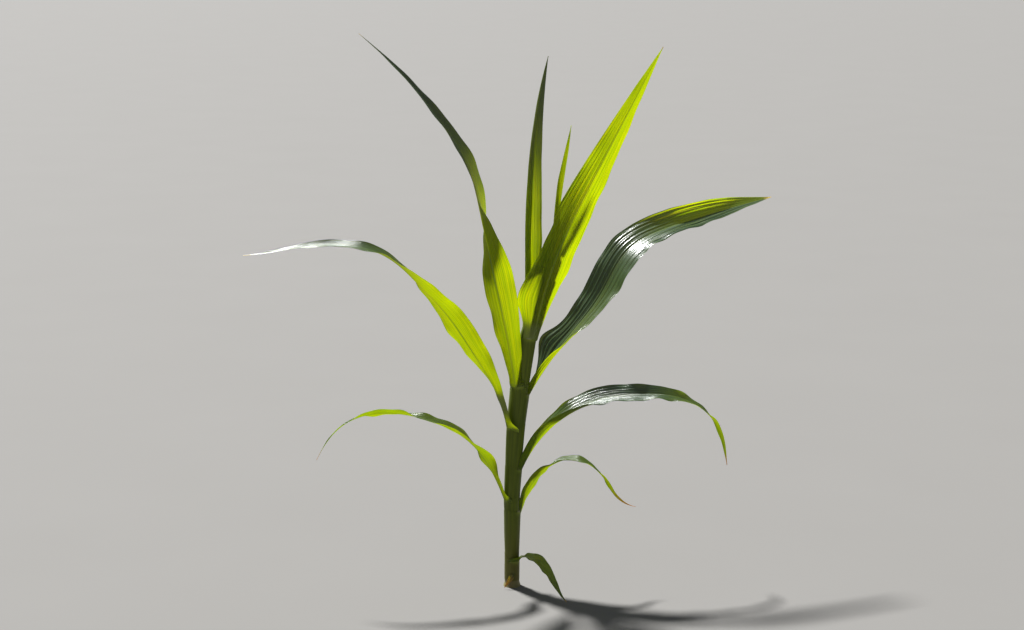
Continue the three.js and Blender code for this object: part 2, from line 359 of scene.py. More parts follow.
# Sheath finish: its streaks and ribs, the brown foot, the pale rim and margins, its relief and sheen
SHEATH_STREAKS_ROUND = 16
SHEATH_STREAKS_UP = 9
RIBS_ON_SHEATH = 0.2
BROWN_UP_TO = 0.14
BROWN_ON_SHEATH = 0.55
RIM_ON_SHEATH = 0.35
MARGIN_NARROWS = 24
SHEATH_RELIEF_STRENGTH = 0.4
SHEATH_RELIEF_HEIGHT = 0.0003
SHEATH_ROUGH = 0.4
SHEATH_ROUGH_STREAKS = 0.15
SHEATH_LEVEL = 0.25

# View: where the photograph was taken from, what the camera looks at and how closely
CAMERA_PLACE = (-0.424, -3.185, 1.15)
CAMERA_TARGET = (0.0, 0.0, 0.482)
CAMERA_LENS = 68

# Light and floor
SUN_FROM = (-0.25, 0.42, 0.88)
SUN_STRENGTH = 12
SUN_SOFTNESS = 6
SKY_COLOUR = (0.86, 0.93, 1.0)
SKY_STRENGTH = 0.3
HORIZON_COLOUR = (0.55, 0.54, 0.52)
HORIZON_FADES_BY = 0.25
FLOOR_SIZE = 60
FLOOR_SHADES = (0.109, 0.105, 0.098), (0.115, 0.111, 0.104)
FLOOR_MOTTLE = (3, 3, 3)
FLOOR_ROUGH = 0.9


# Shape rules of the solids, with the lobes and turns that are finer, worked out for whole arrays

def bell(place, middle, spread):
    """A smooth swell: 1 at the middle, falling away on both sides over the spread."""
    return np.exp(-(((place - middle) / spread) ** 2))


def stalk_centre(z):
    """The stalk's middle at height z: upright at first, then x grows as a power of the height."""
    z = np.asarray(z, float)
    share = np.maximum(0, (z - LEAN_FROM) / LEAN_SPAN)
    return np.stack([LEAN_BY * share**LEAN_POWER, np.zeros_like(z), z], -1)


def whorl_centre(z):
    """The whorl's middle at height z: the stalk's middle, moved to one side as it rises."""
    reach = WHORL_LEAN * np.maximum(0, np.asarray(z, float) - WHORL_LEANS_FROM)
    side = math.radians(WHORL_LEAN_SIDE)
    lean = np.stack([reach * math.cos(side), reach * math.sin(side), 0 * reach], -1)
    return stalk_centre(z) + lean


def sheath_radius(z, nest):
    """The outer radius of the sheath inside `nest` others: it widens smoothly with the height."""
    above = z - WIDENS_FROM
    rise = (above + np.hypot(above, WIDENS_OVER)) / 2
    return STALK_RADIUS + WIDENS_BY * rise - LAYER * nest


def ring(z, azimuth, radius, centre=stalk_centre):
    """Points on a level circle round the stalk or the whorl."""
    point = centre(z + 0 * azimuth)
    point[..., 0] += radius * np.cos(azimuth)
    point[..., 1] += radius * np.sin(azimuth)
    return point


def rounded(rows, t, column):
    """A column of [place, value, ...] rows at t, straight between rows, its corners rounded by
    the mean of five places round t."""
    rows = np.array(rows, float)
    places = [t + share * ROUNDING for share in (-1, -0.5, 0, 0.5, 1)]
    return np.mean([np.interp(place, rows[:, 0], rows[:, column]) for place in places], axis=0)


def blade_frame(leaf, t):
    """The directions along the midrib, across the blade and out of its upper face. Rise and
    heading aim the midrib, and the blade turns about it by the twist."""
    rise, heading, twist = [np.radians(rounded(leaf["course"], t, c)) for c in (1, 2, 3)]
    for place, spread, degrees in leaf.get("turns", []):
        twist = twist + math.radians(degrees) * bell(t, place, spread)
    flat = np.cos(rise)
    along = np.stack([flat * np.cos(heading), flat * np.sin(heading), np.sin(rise)], -1)
    level = np.stack([-np.sin(heading), np.cos(heading), 0 * heading], -1)
    top = np.cross(along, level)
    across = level * np.cos(twist)[..., None] + top * np.sin(twist)[..., None]
    return along, across, np.cross(along, across)


def base_radius(leaf):
    """The radius of the blade's inner face at the collar."""
    if "radius" in leaf:
        return leaf["radius"]
    return sheath_radius(leaf["collar"], leaf["nest"]) - COLLAR_STEP


def midrib(leaf, t):
    """The midrib at t: its start on the whorl or just inside the sheath's rim, plus the sum of
    many short steps along it. Below the collar it runs straight back."""
    mids = (np.arange(PATH_STEPS) + 0.5) / PATH_STEPS
    steps = blade_frame(leaf, mids)[0] * leaf["length"] / PATH_STEPS
    centre = stalk_centre if "foot" in leaf else whorl_centre
    inset = COLLAR_INSET * ("foot" in leaf)
    height, side = np.array(float(leaf["collar"])), math.radians(leaf["side"])
    start = ring(height, side, base_radius(leaf) - inset, centre)
    points = np.vstack([start, start + np.cumsum(steps, axis=0)])
    marks = np.linspace(0, 1, PATH_STEPS + 1)
    line = np.stack([np.interp(t, marks, points[:, axis]) for axis in range(3)], -1)
    return line + np.minimum(t, 0)[..., None] * leaf["length"] * blade_frame(leaf, 0 * t)[0]


def half_width(leaf, t):
    """Half the blade's width: a quarter sine from the base to the widest place, then a power
    curve down to the tip, with a lobe at the collar that reaches round the stalk."""
    t = np.maximum(t, 0)
    base, widest = leaf.get("base", BASE_WIDTH), leaf.get("widest", WIDEST_AT)
    grow = np.sin(math.pi / 2 * np.minimum(1, t / widest))
    rise = base + (1 - base) * grow
    fall = 1 - np.maximum(0, (t - widest) / (1 - widest)) ** leaf.get("taper", TAPER)
    blade = leaf["width"] / 2 * rise * fall
    reach = max(0, LOBE_TURN * base_radius(leaf) - leaf["width"] / 2 * base)
    lobe = reach * bell(t * leaf["length"], 0, LOBE_LENGTH)
    return np.maximum(TIP_HALF_WIDTH, blade + lobe * ("foot" in leaf))


# Meshes

def linked(name, data):
    """A new object of the scene, with this mesh, camera or light."""
    made = bpy.data.objects.new(name, data)
    bpy.context.scene.collection.objects.link(made)
    return made


def smoothed(mesh, sharp):
    """Smooth shading, except at edges past the sharp angle."""
    mesh.shade_smooth()
    mesh.set_sharp_from_angle(angle=math.radians(sharp))


def closed_sheet(name, upper, lower, marks, strips=1):
    """A closed mesh from two grids of points, the upper face and the lower face, joined by strips
    round their four edges. Rows run along the piece and columns across it. Each mark is a named
    value at every point, first of the upper face and then of the lower one."""
    rows, columns = upper.shape[:2]
    count = rows * columns
    points = np.concatenate([upper.reshape(-1, 3), lower.reshape(-1, 3)]) * MM
    grid = np.arange(count).reshape(rows, columns)
    near, far = grid[:-1], grid[1:]
    face = np.stack([near[:, :-1], far[:, :-1], far[:, 1:], near[:, 1:]], -1).reshape(-1, 4)
    edges = [grid[:, 0], grid[::-1, -1], grid[0, ::-1], grid[-1]]
    walls = [np.stack([e[:-1], e[:-1] + count, e[1:] + count, e[1:]], -1) for e in edges]
    faces = np.concatenate([face, face[:, ::-1] + count, *walls])
    mesh = bpy.data.meshes.new(name)
    mesh.from_pydata(points.tolist(), [], faces.tolist())
    for key, values in marks.items():
        both = np.concatenate([np.broadcast_to(v, (rows, columns)).ravel() for v in values])
        layer = mesh.attributes.new(key, "FLOAT", "POINT")
        layer.data.foreach_set("value", both.astype(np.float32))
    bake_layout(mesh, rows - 1, columns - 1, strips)
    smoothed(mesh, SHEET_SHARP)
    return linked(name, mesh)


def bake_layout(mesh, rows, columns, strips):
    """A map without overlaps: each face of the sheet is cut into equal strips that stand side by
    side, and the four edge walls share one more strip."""
    cells = 2 * strips + 1
    per_strip = math.ceil(rows / strips)
    row, column = np.divmod(np.arange(rows * columns), columns)
    strip, row = np.divmod(row, per_strip)
    down = np.array([0, 1, 1, 0])
    side = np.array([0, 0, 1, 1])

    def placed(cell, x, y):
        """A spot of a cell, from 0 to 1 both ways, on the whole map and clear of the cell's edges."""
        inside = STRIP_GAP + (1 - 2 * STRIP_GAP) * x
        return np.stack([(cell + inside) / cells, STRIP_GAP + (1 - 2 * STRIP_GAP) * y], -1)

    x = (column[:, None] + side) / columns
    y = (row[:, None] + down) / per_strip
    top = placed(strip[:, None], x, y)
    bottom = placed(strip[:, None] + strips, x[:, ::-1], y[:, ::-1])
    walls = []
    for slot, length in enumerate([rows, rows, columns, columns]):
        step = np.arange(length)[:, None]
        wall_x = (slot + WALL_STARTS + WALL_FILLS * down) / 4 + 0 * step
        wall_y = (step + side) / length
        walls.append(placed(2 * strips, wall_x, wall_y))
    spots = np.concatenate([top, bottom, *walls])
    layer = mesh.uv_layers.new(name="OFBake")
    layer.uv.foreach_set("vector", spots.astype(np.float32).ravel())


def dress(piece, replaced, material):
    """Gives a piece its finish and its body, and hides the solids that it stands for."""
    piece.data.materials.append(material)
    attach(piece, "root")
    if replaced:
        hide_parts(*replaced)


# Blades

def column_places():
    """Columns across a blade from -1 to 1, as shares of the rib's half width inside it and of the
    lamina's width beyond it, with the side that each column is on."""
    rib = np.arange(RIB_COLUMNS) / RIB_COLUMNS
    lamina = np.arange(LAMINA_COLUMNS + 1) / LAMINA_COLUMNS
    inside = np.concatenate([rib, np.ones(LAMINA_COLUMNS + 1)])
    outside = np.concatenate([np.zeros(RIB_COLUMNS), lamina])
    sign = np.sign(np.arange(1 - len(inside), len(inside)))
    return sign, *[np.concatenate([half[:0:-1], half]) for half in (inside, outside)]


def blade_section(leaf, t, sign, reach, share):
    """The section at t. The face turns with the distance from the midrib, by the stalk's curve at
    the collar and a shallow channel further on, by the fold at the rib and by the curls. The
    offsets across and up are the sums of the turned steps from the midrib outwards."""
    t = np.maximum(t, 0)
    curve = (CHANNEL + (1 - CHANNEL) * np.exp(-t / leaf["opening"])) / base_radius(leaf)
    turn = reach * curve + math.radians(FOLD) * (1 - np.exp(-t / FOLD_OVER))
    for side, start, place, spread, degrees in leaf.get("curls", []):
        beyond = np.clip((share - start) / (1 - start), 0, 1)
        turn = turn + math.radians(degrees) * beyond * bell(t, place, spread) * (sign == side)
    step = np.diff(sign * reach, axis=1)
    facing = np.sign(sign[1:] + sign[:-1]) * (turn[:, 1:] + turn[:, :-1]) / 2
    middle = len(sign) // 2
    offsets = []
    for run in (step * np.cos(facing), step * np.sin(facing)):
        total = np.pad(np.cumsum(run, axis=1), ((0, 0), (1, 0)))
        offsets.append(total - total[:, middle:middle + 1])
    return *offsets, sign * turn


def side_width(leaf, t, sign):
    """Half the blade's width on each side: the rule of the solids, and the flares of one half."""
    width = half_width(leaf, t) + 0 * sign
    for side, place, spread, more in leaf.get("flares", []):
        width = width + more * bell(t, place, spread) * (sign == side)
    return width


def rib_half_width(leaf, t):
    """Half the rib's width: a power curve down to the tip, kept under a share of the blade's."""
    rib = RIB_SHARE * leaf["width"] * np.clip(1 - t, RIB_LEAST, 1) ** RIB_NARROWS
    return np.minimum(rib, half_width(leaf, t) * RIB_MOST)


def phase(leaf, sign, by_leaf, by_side):
    """An angle that sets each leaf's waves, and each side's, apart from the others'."""
    return leaf["number"] * by_leaf + sign * by_side


def pleats(leaf, t, sign, share, width):
    """Long folds beside the veins: two cosines across each half, whose phases drift along the
    leaf, as high as a small share of the width and fading at the rib and the collar."""
    number = leaf["number"]
    drift = phase(leaf, sign, *PLEAT_PHASES) + PLEAT_DRIFT * np.sin(PLEAT_DRIFT_RATE * t + number)
    wave = LONG_WAVE * np.cos(2 * math.pi * PLEATS * share + drift)
    wave = wave + (1 - LONG_WAVE) * np.cos(2 * math.pi * FINE_PLEATS * share - 2 * drift)
    swell = np.sin(PLEAT_SWELLS * t + PLEAT_SLANT * share + number)
    strength = PLEAT_STEADY + (1 - PLEAT_STEADY) * swell
    fade = np.clip(share / PLEATS_FROM_RIB, 0, 1) * np.clip(t / PLEATS_FROM_COLLAR, 0, 1)
    return PLEAT_RISE * leaf["pleat"] * width * strength * fade * wave


def ruffles(leaf, t, sign, share):
    """How far the margins wave: two sines of different length along each side, strongest at the
    margin and over the middle of the blade."""
    place = 2 * math.pi * t * leaf["length"] / leaf["wave"]
    start = phase(leaf, sign, *RUFFLE_PHASES)
    wave = LONG_WAVE * np.sin(place + start)
    wave = wave + (1 - LONG_WAVE) * np.sin(RUFFLE_RATE * place + RUFFLE_SHIFT * start)
    swell = np.clip(t / RUFFLES_SWELL_OVER, 0, 1) * np.clip((1 - t) / RUFFLES_END_OVER, 0, 1)
    return leaf["ruffle"] * swell * share**RUFFLE_POWER * wave


def painted_shade_strength(leaf, t, sign, share):
    """Painted shade: how far a blade stops the light, from 0 to 1, so that it shows darker there. It
    is the strongest of its places of painted shade, each level in its middle and steep at its ends."""
    painted_shade = 0 * share
    for side, place, spread in leaf.get("painted_shade", []):
        swell = np.exp(-(((t - place) / spread) ** 4))
        painted_shade = np.maximum(painted_shade, swell * ((sign == side) | (side == 0)))
    return painted_shade


def make_blade(leaf, material):
    """One leaf blade: the section carried along the midrib, with the rib's keel below, a shallow
    groove above and a fine ridge at every vein."""
    rows = round(leaf["length"] / ROW_LENGTH / BLADE_STRIPS) * BLADE_STRIPS + 1
    tuck = leaf.get("tuck", TUCK * ("foot" in leaf)) / leaf["length"]
    t = np.linspace(-tuck, 1, rows)[:, None]
    sign, inside, outside = column_places()
    width = side_width(leaf, t, sign)
    rib = rib_half_width(leaf, t)
    reach = rib * inside + (width - rib) * outside
    share = reach / width
    across, height, turn = blade_section(leaf, t, sign, reach, share)
    _, across_way, up_way = blade_frame(leaf, t + 0 * reach)
    middle = midrib(leaf, t + 0 * reach)
    surface = middle + across_way * across[..., None] + up_way * height[..., None]
    normal = up_way * np.cos(turn)[..., None] - across_way * np.sin(turn)[..., None]

    keel = bell(reach / rib, 0, KEEL_SPREAD)
    veins = 0.5 + 0.5 * np.cos(2 * math.pi * VEINS * share)
    veins = veins * (1 - keel) * np.clip((1 - t) / VEINS_END_OVER, 0, 1)
    from_collar = np.maximum(t, 0) * leaf["length"]
    collar = bell(from_collar, 0, COLLAR_LENGTH) * ("foot" in leaf)
    grown = 1 - RIB_STARTS * bell(from_collar, 0, RIB_GROWS_OVER) * ("foot" in leaf)
    thin = MARGIN + (LAMINA - MARGIN) * np.clip((1 - share) / MARGIN_OVER, 0, 1)
    bend = ruffles(leaf, t, sign, share) + pleats(leaf, t, sign, share, width)
    lift = bend - RIB_GROOVE * rib * keel - VEIN_RISE * VEIN_DIP * veins
    depth = thin + RIB_DEPTH * rib * keel * grown + VEIN_RISE * veins
    upper = surface + normal * lift[..., None]
    lower = surface + normal * (bend - depth)[..., None]

    dry = np.clip((t - 1 + leaf["dry"]) / max(leaf["dry"], DRY_LEAST), 0, 1)
    # Painted shade: places that let less light pass, so that the blade shows darker there
    painted_shade = painted_shade_strength(leaf, t, sign, share)
    marks = {
        "across": (sign * share, sign * share),
        "along": (t, t),
        "rib": (keel, keel),
        "collar": (collar, collar),
        "dry": (dry, dry),
        "painted_shade": (painted_shade, painted_shade),
        "under": (0, 1),
    }
    name = leaf.get("name", f"leaf_{leaf['number']}_blade")
    solids = [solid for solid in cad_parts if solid.startswith(name)]
    piece = closed_sheet(f"maize_{name}", upper, lower, marks, BLADE_STRIPS)
    dress(piece, solids, material)


# Sheaths, ligules, whorl and culm

def rim_height(leaf, azimuth, radius):
    """The height of the sheath's rim: where the wall meets the plane across the blade's base,
    found in a few passes, less a notch where the margins lap."""
    start = midrib(leaf, np.zeros(1))[0]
    along = blade_frame(leaf, np.zeros(1))[0][0]
    height = np.full(np.shape(azimuth), float(leaf["collar"]))
    for _ in range(RIM_PASSES):
        rim = ring(height, azimuth, radius)
        height = height - (rim - start) @ along / along[2]
    from_lap = math.pi - np.abs(azimuth - math.radians(leaf["side"]))
    return height - NOTCH * bell(from_lap, 0, NOTCH_WIDTH)


def make_sheath(leaf, material):
    """One rolled sheath: a wall round the stalk from the joint to the rim, ribbed along its
    veins. The wall winds slightly inwards, so that one margin laps over the other, and away from
    the blade its rim settles on the next sheath. Under the blade it bears the rib's keel."""
    turn = np.linspace(-math.pi - LAP, math.pi + LAP, SHEATH_COLUMNS + 1)[None, :]
    azimuth = math.radians(leaf["side"]) + turn
    wound = SPIRAL * (turn / (math.pi + LAP) + 1) / 2
    rim = rim_height(leaf, azimuth, sheath_radius(leaf["collar"], leaf["nest"]) - wound)
    rows = max(SHEATH_LEAST_ROWS, round((leaf["collar"] - leaf["foot"]) / SHEATH_ROW))
    share = 1 - np.linspace(1, 0, rows + 1)[:, None] ** SHEATH_ROWS_GATHER
    height = leaf["foot"] + (rim - leaf["foot"]) * share
    ribs = SHEATH_RIB_RISE * np.cos(SHEATH_RIBS * turn)
    away = np.clip((np.abs(turn) - RIM_FREE) / RIM_FREE_OVER, 0, 1)
    near_rim = bell(rim, height, RIM_SETTLES_OVER)
    edge = away * near_rim
    outer_radius = sheath_radius(height, leaf["nest"]) - wound * (1 - edge) - RIM_SETTLES * edge
    wall = SHEATH_WALL * (1 - RIM_THINS * near_rim)
    keel = bell(turn * outer_radius, 0, SHEATH_KEEL_WIDTH)
    keel = keel * SHEATH_KEEL * RIB_DEPTH * RIB_SHARE * leaf["width"]
    keel = keel * bell(rim, height, SHEATH_KEEL_LENGTH)
    outer = ring(height, azimuth, outer_radius + ribs + keel)
    inner = ring(height, azimuth, outer_radius - wall)
    collar = bell(rim, height, COLLAR_LENGTH) * (1 - away)
    marks = {
        "across": (turn / math.pi, turn / math.pi),
        "collar": (collar, collar),
        "margin": (np.abs(turn) / (math.pi + LAP),) * 2,
        "under": (0, 1),
    }
    name = f"leaf_{leaf['number']}_sheath"
    dress(closed_sheet(f"maize_{name}", inner, outer, marks), [name], material)


def make_ligule(leaf, material):
    """The thin membrane inside a collar: a short upright band that hugs the inner leaves. Its top
    edge is a cosine, lower towards its ends, with two sines that make it ragged."""
    turn = np.linspace(-LIGULE_TURN, LIGULE_TURN, LIGULE_COLUMNS + 1)[None, :]
    azimuth = math.radians(leaf["side"]) + turn
    radius = sheath_radius(leaf["collar"], leaf["nest"]) - LIGULE_INSIDE
    foot = rim_height(leaf, azimuth, radius) - LIGULE_SUNK
    ragged = RAG_RISE * np.sin(RAGS * turn + leaf["number"])
    ragged = ragged + FINE_RAG_RISE * np.sin(FINE_RAGS * turn)
    tall = LIGULE_HEIGHT * (LIGULE_ARCH * np.cos(turn) + 1 - LIGULE_ARCH + ragged)
    share = np.linspace(0, 1, LIGULE_ROWS + 1)[:, None]
    height = foot + np.maximum(LIGULE_LEAST, tall) * share
    outer = ring(height, azimuth, radius + 0 * share)
    inner = ring(height, azimuth, radius - LIGULE_WALL + 0 * share)
    marks = {"collar": (share, share), "under": (0, 1)}
    name = f"maize_ligule_{leaf['number']}"
    dress(closed_sheet(name, inner, outer, marks), [], material)


def make_whorl(material):
    """The roll of young leaf bases: one wall that winds inwards over more than two turns and whose
    top edge climbs towards the middle."""
    rows = np.array(WHORL_PROFILE, float)
    turn = np.linspace(0, 2 * math.pi * WHORL_TURNS, WHORL_COLUMNS + 1)[None, :]
    wound = turn / turn.max()
    top = WHORL_LOWEST_RIM + (rows[-1, 0] - WHORL_LOWEST_RIM) * wound**WHORL_RIM_POWER
    share = np.linspace(0, 1, WHORL_ROWS + 1)[:, None]
    height = rows[0, 0] + (top - rows[0, 0]) * share
    radius = np.interp(height, rows[:, 0], rows[:, 1]) * (1 - WHORL_INWARD * wound)
    ribs = SHEATH_RIB_RISE * np.cos(turn * SHEATH_RIBS / 2)
    outer = ring(height, turn, radius + ribs, whorl_centre)
    inner = ring(height, turn, radius - WHORL_WALL, whorl_centre)
    marks = {
        "across": (turn / math.pi, turn / math.pi),
        "collar": (0, 0),
        "margin": (0, 0),
        "under": (0, 1),
    }
    piece = closed_sheet("maize_whorl", inner, outer, marks)
    dress(piece, ["whorl_core"], material)


def culm_radius(z):
    """The culm's radius: it swells to fill the sheath at every joint, is narrower between joints
    and flares at the ground, with a fine ring on the first joint, the only one that shows."""
    joints = [(leaf["foot"], sheath_radius(leaf["foot"], leaf["nest"]) - LAYER)
              for leaf in LEAVES if "foot" in leaf]
    rows = [(0, FLARE_RADIUS), (FLARE_HEIGHT, STALK_RADIUS)]
    for (height, radius), (above, next_radius) in zip(joints, joints[1:]):
        rows += [(height, radius), ((height + above) / 2, min(radius, next_radius) - WAIST)]
    rows += [joints[-1], (CULM_TOP, joints[-1][1] - WAIST)]
    heights, radii = zip(*rows)
    swell = JOINT_RING * bell(z, joints[0][0], JOINT_RING_HEIGHT)
    return np.interp(z, heights, radii) + swell


def make_culm(material):
    """The jointed stem inside the sheaths: a lathe shape on the stalk's line, closed at both ends,
    with shallow furrows along it, two cosines of the angle."""
    rows = round(CULM_TOP / CULM_ROW)
    z = np.linspace(0, CULM_TOP, rows + 1)[:, None]
    azimuth = np.arange(CULM_SIDES)[None, :] * 2 * math.pi / CULM_SIDES
    furrows = FURROW_DEPTH * np.cos(FURROWS * azimuth)
    winding = BROAD_FURROWS * azimuth + z / BROAD_FURROW_RISE
    furrows = furrows + BROAD_FURROW_DEPTH * np.cos(winding)
    wall = ring(z, azimuth, culm_radius(z) + furrows)
    grid = np.arange(wall[..., 0].size).reshape(rows + 1, CULM_SIDES)
    after = np.roll(grid, -1, axis=1)
    faces = np.stack([grid[:-1], after[:-1], after[1:], grid[1:]], -1).reshape(-1, 4).tolist()
    faces += [grid[0, ::-1].tolist(), grid[-1].tolist()]
    mesh = bpy.data.meshes.new("maize_culm")
    mesh.from_pydata((wall.reshape(-1, 3) * MM).tolist(), [], faces)
    smoothed(mesh, CULM_SHARP)
    dress(linked("maize_culm", mesh), ["culm"], material)


# Materials

def node(tree, kind, sockets=(), **settings):
    """Adds a node, with its settings, and fills its sockets with values or links."""
    made = tree.nodes.new(kind)
    for key, value in settings.items():
        setattr(made, key, value)
    for key, value in dict(sockets).items():
        if isinstance(value, bpy.types.NodeSocket):
            tree.links.new(value, made.inputs[key])
        else:
            made.inputs[key].default_value = value
    return made


def maths(tree, operation, *values):
    """The result of one operation on links and numbers."""
    return node(tree, "ShaderNodeMath", enumerate(values), operation=operation).outputs[0]


def times(tree, value, factor):
    """A value times a factor."""
    return maths(tree, "MULTIPLY", value, factor)


def spared(tree, value, share):
    """What a share of the value leaves of 1."""
    return maths(tree, "MULTIPLY_ADD", value, -share, 1)


def waves(tree, place, rate):
    """A cosine of the place, between 0 and 1."""
    wave = maths(tree, "COSINE", times(tree, place, rate))
    return maths(tree, "MULTIPLY_ADD", wave, 0.5, 0.5)


def between(tree, value, start, end, first=0, last=1):
    """A ramp from first, where the value is start, to last, where it is end, level beyond both."""
    sockets = {0: value, 1: start, 2: end, 3: first, 4: last}
    return node(tree, "ShaderNodeMapRange", sockets).outputs[0]


def blend(tree, share, low, high):
    """A colour between two colours."""
    low, high = [(*c, 1) if isinstance(c, tuple) else c for c in (low, high)]
    mix = node(tree, "ShaderNodeMix", {0: share, 6: low, 7: high}, data_type="RGBA")
    return mix.outputs[2]


def mark(tree, name):
    """A mark on the piece's surface, by its name."""
    return node(tree, "ShaderNodeAttribute", attribute_name=name).outputs["Fac"]


def streaks(tree, across, along, seed):
    """Noise drawn out along the leaf, from marks on its surface."""
    place = node(tree, "ShaderNodeCombineXYZ", {0: across, 1: along, 2: seed}).outputs[0]
    return node(tree, "ShaderNodeTexNoise", {"Vector": place, "Scale": 1, "Detail": 3}).outputs["Fac"]


def bumps(tree, height, strength, distance):
    """Surface relief from a height, where a height of 1 stands out by the distance in metres."""
    sockets = {"Height": height, "Strength": strength, "Distance": distance}
    return node(tree, "ShaderNodeBump", sockets).outputs[0]


def new_finish(name):
    """A material and its empty tree of nodes."""
    material = bpy.data.materials.new(name)
    material.use_nodes = True
    material.node_tree.nodes.clear()
    return material, material.node_tree


def lit_through(tree, share, skin, body):
    """Ends a tree: a share of the light passes through the body, and the rest meets the skin."""
    both = node(tree, "ShaderNodeMixShader", {0: share, 1: skin.outputs[0], 2: body.outputs[0]})
    node(tree, "ShaderNodeOutputMaterial", {"Surface": both.outputs[0]})


def leaf_finish(name, seed, upper, lower, glow, rib, dry, passing, gloss):
    """A leaf: a waxy face over a body that lets light through. Upper and lower faces have their
    own greens, the veins are drawn along the blade, the rib and the collar are pale and thick,
    and the tip is dry. The glow's colours are those of two patches, the streaks and the veins."""
    material, tree = new_finish(name)
    across, along, under = [mark(tree, key) for key in ("across", "along", "under")]
    ribs, collar, dried, painted_shade = [mark(tree, key) for key in ("rib", "collar", "dry", "painted_shade")]
    side = maths(tree, "ABSOLUTE", across)
    run = times(tree, along, STREAKS_ALONG)
    tone = streaks(tree, times(tree, across, STREAKS_ACROSS), run, seed)
    broad = streaks(tree, times(tree, across, PATCHES_ACROSS), run, seed + PATCH_SEED)
    contrast = between(tree, tone, *STREAK_RANGE)
    patch = between(tree, broad, *PATCH_RANGE)
    vein = maths(tree, "POWER", waves(tree, side, 2 * math.pi * VEINS), VEIN_SHARPNESS)
    fine = waves(tree, side, 2 * math.pi * VEINS * FINE_VEINS)

    face = blend(tree, under, blend(tree, contrast, *upper), blend(tree, contrast, *lower))
    face = blend(tree, times(tree, vein, VEINS_ON_SKIN), face, lower[1])
    face = blend(tree, times(tree, ribs, RIB_ON_SKIN), face, rib)
    face = blend(tree, times(tree, collar, COLLAR_ON_SKIN), face, rib)
    face = blend(tree, dried, face, dry)

    uneven = maths(tree, "MULTIPLY_ADD", contrast, VEINS_IN_STREAKS, VEINS_IN_LIGHT)
    lines = maths(tree, "MAXIMUM", times(tree, fine, FINE_IN_LIGHT), times(tree, vein, uneven))
    light = blend(tree, patch, glow[0], glow[1])
    light = blend(tree, times(tree, contrast, STREAKS_IN_LIGHT), light, glow[2])
    light = blend(tree, lines, light, glow[3])
    light = blend(tree, dried, light, dry)

    height = maths(tree, "ADD", times(tree, vein, VEIN_RELIEF), times(tree, fine, FINE_RELIEF))
    height = maths(tree, "ADD", height, times(tree, tone, STREAK_RELIEF))
    height = times(tree, height, between(tree, along, *RELIEF_FADES, 1, RELIEF_LEFT))
    relief = bumps(tree, height, RELIEF_STRENGTH, RELIEF_HEIGHT)
    rough = maths(tree, "MULTIPLY_ADD", tone, ROUGH_STREAKS, gloss)
    rough = maths(tree, "MULTIPLY_ADD", under, ROUGH_BELOW, rough)
    skin = node(tree, "ShaderNodeBsdfPrincipled", {
        "Base Color": face, "Roughness": rough, "Normal": relief, "IOR": WAX_IOR,
        "Specular IOR Level": WAX_LEVEL})
    body = node(tree, "ShaderNodeBsdfTranslucent", {"Color": light, "Normal": relief})

    share = maths(tree, "MULTIPLY_ADD", under, passing[1] - passing[0], passing[0])
    # Painted shade: where its mark is high, less light passes and the blade shows darker
    for stops, most in ((ribs, RIB_STOPS), (collar, COLLAR_STOPS), (painted_shade, PAINTED_SHADE_STOPS)):
        share = times(tree, share, spared(tree, stops, most))
    lit_through(tree, share, skin, body)
    return material


def sheath_finish(name, seed, shade, light, rim, foot, passing):
    """A sheath: ribbed olive green, browner near the ground, paler at the collar and the margins,
    with a little light passing."""
    material, tree = new_finish(name)
    across, collar, margin = [mark(tree, key) for key in ("across", "collar", "margin")]
    place = node(tree, "ShaderNodeTexCoord").outputs["Object"]
    height = node(tree, "ShaderNodeSeparateXYZ", {0: place}).outputs[2]
    tone = streaks(tree, times(tree, across, SHEATH_STREAKS_ROUND),
                   times(tree, height, SHEATH_STREAKS_UP), seed)
    fine = waves(tree, across, math.pi * SHEATH_RIBS)
    face = blend(tree, between(tree, tone, *STREAK_RANGE), shade, light)
    face = blend(tree, times(tree, fine, RIBS_ON_SHEATH), face, light)
    low = between(tree, height, BROWN_UP_TO, 0)
    face = blend(tree, times(tree, low, BROWN_ON_SHEATH), face, foot)
    face = blend(tree, times(tree, collar, RIM_ON_SHEATH), face, rim)
    face = blend(tree, maths(tree, "POWER", margin, MARGIN_NARROWS), face, rim)
    relief = bumps(tree, maths(tree, "ADD", fine, tone), SHEATH_RELIEF_STRENGTH,
                   SHEATH_RELIEF_HEIGHT)
    rough = maths(tree, "MULTIPLY_ADD", tone, SHEATH_ROUGH_STREAKS, SHEATH_ROUGH)
    skin = node(tree, "ShaderNodeBsdfPrincipled", {
        "Base Color": face, "Roughness": rough, "Normal": relief,
        "Specular IOR Level": SHEATH_LEVEL})
    body = node(tree, "ShaderNodeBsdfTranslucent", {"Color": (*rim, 1), "Normal": relief})
    lit_through(tree, passing, skin, body)
    return material


def mottled_finish(name, dark, light, scale, rough, relief):
    """A matte finish: noise on the piece's own place, stretched by the scale, drifts the colour
    between two shades and raises the surface."""
    material, tree = new_finish(name)
    place = node(tree, "ShaderNodeTexCoord").outputs["Object"]
    scaled = node(tree, "ShaderNodeMapping", {"Vector": place, "Scale": scale}).outputs[0]
    noise = node(tree, "ShaderNodeTexNoise", {"Vector": scaled, "Scale": 1, "Detail": 4})
    mottle = noise.outputs["Fac"]
    skin = node(tree, "ShaderNodeBsdfPrincipled", {
        "Base Color": blend(tree, mottle, dark, light), "Roughness": rough,
        "Normal": bumps(tree, mottle, RELIEF_STRENGTH, relief)})
    node(tree, "ShaderNodeOutputMaterial", {"Surface": skin.outputs[0]})
    return material


# View, light and floor

def make_camera():
    """The camera at the photograph's place, turned to the plant."""
    data = bpy.data.cameras.new("camera")
    data.lens = CAMERA_LENS
    camera = linked("camera", data)
    camera.location = CAMERA_PLACE
    aim = Vector(CAMERA_TARGET) - Vector(CAMERA_PLACE)
    camera.rotation_euler = aim.to_track_quat("-Z", "Y").to_euler()
    bpy.context.scene.camera = camera


